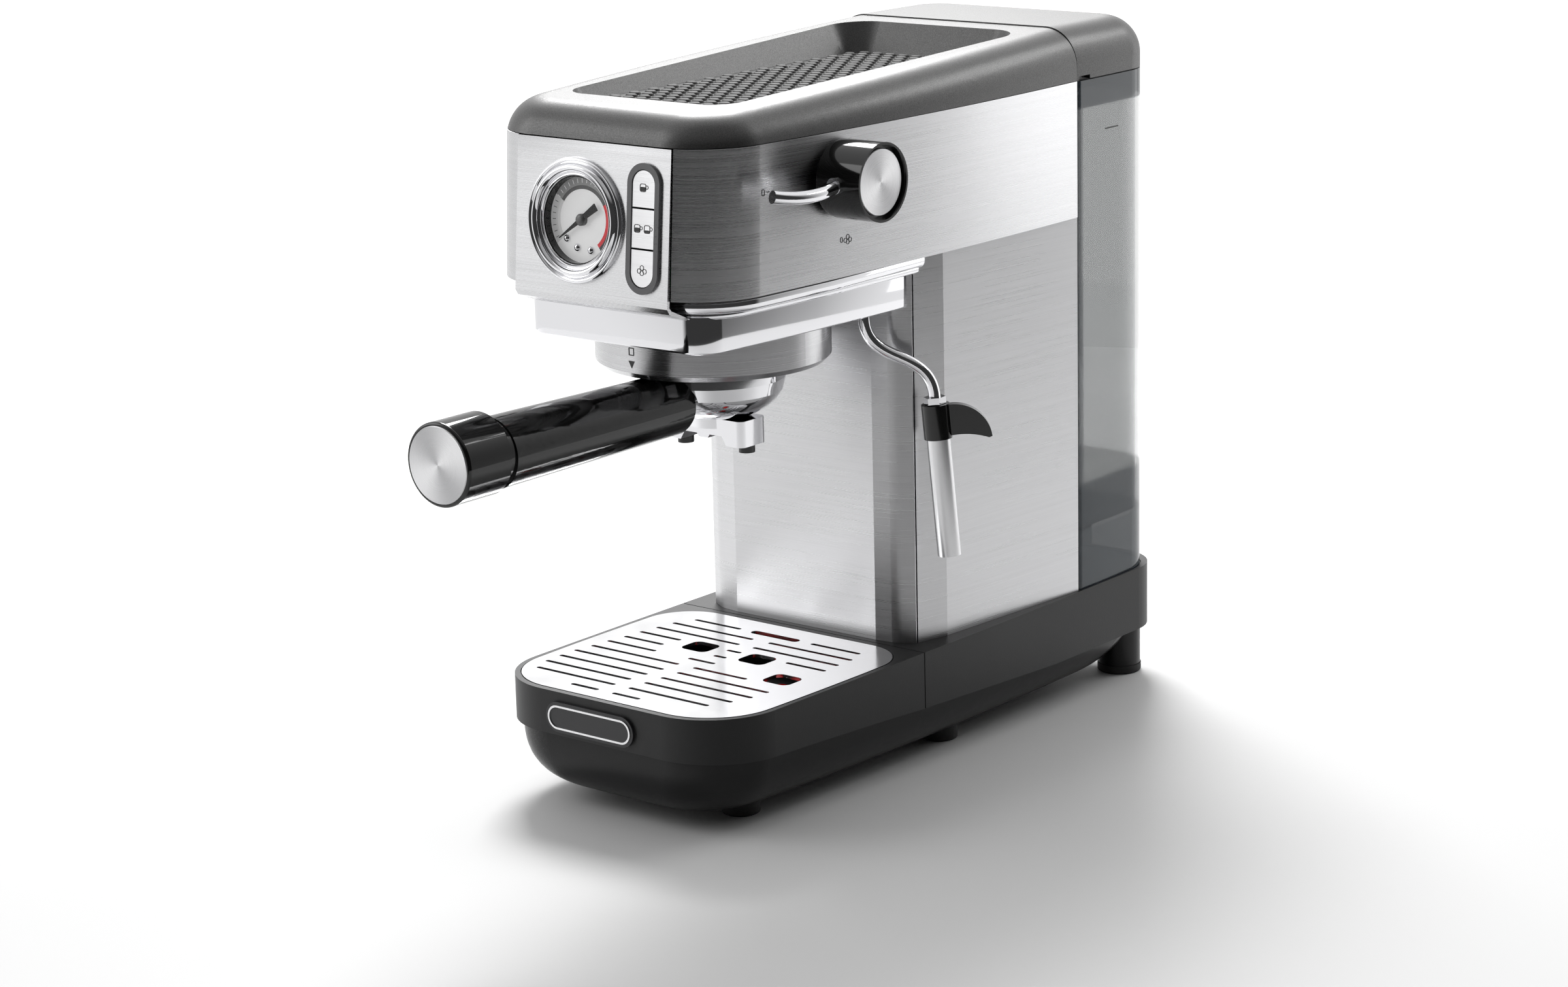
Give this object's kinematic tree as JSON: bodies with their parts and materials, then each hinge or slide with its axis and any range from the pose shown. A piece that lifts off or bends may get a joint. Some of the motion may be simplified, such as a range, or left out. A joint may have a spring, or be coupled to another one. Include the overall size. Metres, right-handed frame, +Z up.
{
  "type": "espresso machine",
  "caption": "Slim pump espresso machine with a pressure gauge, locking filter handle, steam wand, side steam knob, drip tray and rear water tank.",
  "frame": {"origin": "on the worktop, under the middle of the base's length and on the machine's mid-plane", "axes": "+Z up, -Y towards the user along the filter handle, +X towards the steam knob and wand"},
  "size_m": [0.1646, 0.4215, 0.3141],
  "materials": {
    "brushed_steel": "fine brushed grain",
    "polished_steel": "polished",
    "chrome": "mirror plated",
    "metallic_grey_paint": "metallic painted ABS",
    "graphite_plastic": "satin moulded",
    "black_plastic": "fine textured",
    "gloss_black": "polished",
    "spun_aluminium": "radially brushed",
    "smoked_clear": "clear smoked",
    "lens_glass": "clear",
    "dial_white": "printed card",
    "needle_black": "painted",
    "red_plastic": "moulded",
    "rubber": "matt",
    "cast_aluminium": "as cast",
    "brass": "turned",
    "silicone": "translucent",
    "board_green": "solder masked"
  },
  "bodies": {
    "root": {"boiler": "cast_aluminium", "bulkhead": "black_plastic", "button_surround": "graphite_plastic", "cable_gland": "black_plastic", "chassis": "black_plastic", "chassis_feet": "rubber", "chrome_band": "chrome", "circuit_boards": "board_green", "column_frame": "black_plastic", "column_front": "brushed_steel", "column_sides": "brushed_steel", "cup_plate": "metallic_grey_paint", "front_panel": "brushed_steel", "gauge_bezel": "chrome", "gauge_case": "brass", "gauge_dial": "dial_white", "gauge_lens": "lens_glass", "group_collar": "brushed_steel", "group_gasket": "rubber", "group_head": "cast_aluminium", "head_frame": "black_plastic", "pump": "black_plastic", "pump_mounts": "rubber", "rear_base": "graphite_plastic", "rear_foot_pads": "rubber", "rear_foot_posts": "black_plastic", "screws": "polished_steel", "shower_screen": "polished_steel", "side_panel_left": "brushed_steel", "side_panel_right": "brushed_steel", "steam_valve": "brass", "tank_seat": "rubber", "thermostats": "black_plastic", "top_cover": "metallic_grey_paint", "water_hoses": "silicone"},
    "portafilter": {"portafilter_bowl": "chrome", "filter_basket": "polished_steel", "portafilter_neck": "polished_steel", "portafilter_handle": "gloss_black", "handle_disc": "spun_aluminium", "spout_block": "chrome", "spout_tips": "black_plastic"},
    "needle": {"gauge_needle": "needle_black"},
    "one_cup_button": {"button_one_cup": "brushed_steel"},
    "two_cup_button": {"button_two_cups": "brushed_steel"},
    "steam_button": {"button_steam": "brushed_steel"},
    "knob": {"steam_knob": "gloss_black", "knob_disc": "spun_aluminium", "knob_lever": "chrome"},
    "wand": {"steam_wand": "polished_steel", "wand_nut": "polished_steel", "wand_grip": "gloss_black"},
    "frother": {"frother_sleeve": "brushed_steel"},
    "tray": {"drip_tray": "graphite_plastic", "badge_plate": "black_plastic"},
    "grid": {"drip_grid": "polished_steel"},
    "float": {"tray_float": "red_plastic"},
    "tank": {"water_tank": "smoked_clear", "tank_valve": "black_plastic"},
    "lid": {"tank_lid": "metallic_grey_paint"}
  },
  "joints": [
    {"name": "portafilter_turn", "type": "hinge", "parent": "root", "child": "portafilter", "pos_m": [0, -0.084, 0.19], "axis": [0, 0, 1], "range_deg": [-45, 0]},
    {"name": "gauge_needle_turn", "type": "hinge", "parent": "root", "child": "needle", "pos_m": [-0.0085, -0.15834, 0.2577], "axis": [0, 0.9962, -0.0868], "range_deg": [0, 270], "stiffness_Nm_per_rad": 0.0002},
    {"name": "one_cup_press", "type": "slide", "parent": "root", "child": "one_cup_button", "axis": [0, 0.9962, -0.0868], "range_m": [0, 0.0015], "stiffness_N_per_m": 300},
    {"name": "two_cup_press", "type": "slide", "parent": "root", "child": "two_cup_button", "axis": [0, 0.9962, -0.0868], "range_m": [0, 0.0015], "stiffness_N_per_m": 300},
    {"name": "steam_press", "type": "slide", "parent": "root", "child": "steam_button", "axis": [0, 0.9962, -0.0868], "range_m": [0, 0.0015], "stiffness_N_per_m": 300},
    {"name": "steam_knob_turn", "type": "hinge", "parent": "root", "child": "knob", "pos_m": [0.08, -0.083, 0.2713], "axis": [1, 0, 0], "range_deg": [0, 90]},
    {"name": "wand_swivel", "type": "hinge", "parent": "root", "child": "wand", "pos_m": [0.0465, -0.0383, 0.205], "axis": [0, 0, 1], "range_deg": [-90, 0]},
    {"name": "frother_pull_off", "type": "slide", "parent": "wand", "child": "frother", "axis": [0.0698, 0.0399, -0.9968], "range_m": [0, 0.055]},
    {"name": "tray_slide", "type": "slide", "parent": "root", "child": "tray", "axis": [0, -1, 0], "range_m": [0, 0.15]},
    {"name": "grid_lift_off", "type": "slide", "parent": "tray", "child": "grid", "axis": [0, 0, 1], "range_m": [0, 0.04]},
    {"name": "float_rise", "type": "slide", "parent": "tray", "child": "float", "axis": [0, 0, 1], "range_m": [0, 0.002]},
    {"name": "tank_lift_out", "type": "slide", "parent": "root", "child": "tank", "axis": [0, 0, 1], "range_m": [0, 0.25]},
    {"name": "lid_lift_off", "type": "slide", "parent": "tank", "child": "lid", "axis": [0, 0, 1], "range_m": [0, 0.03]}
  ]
}
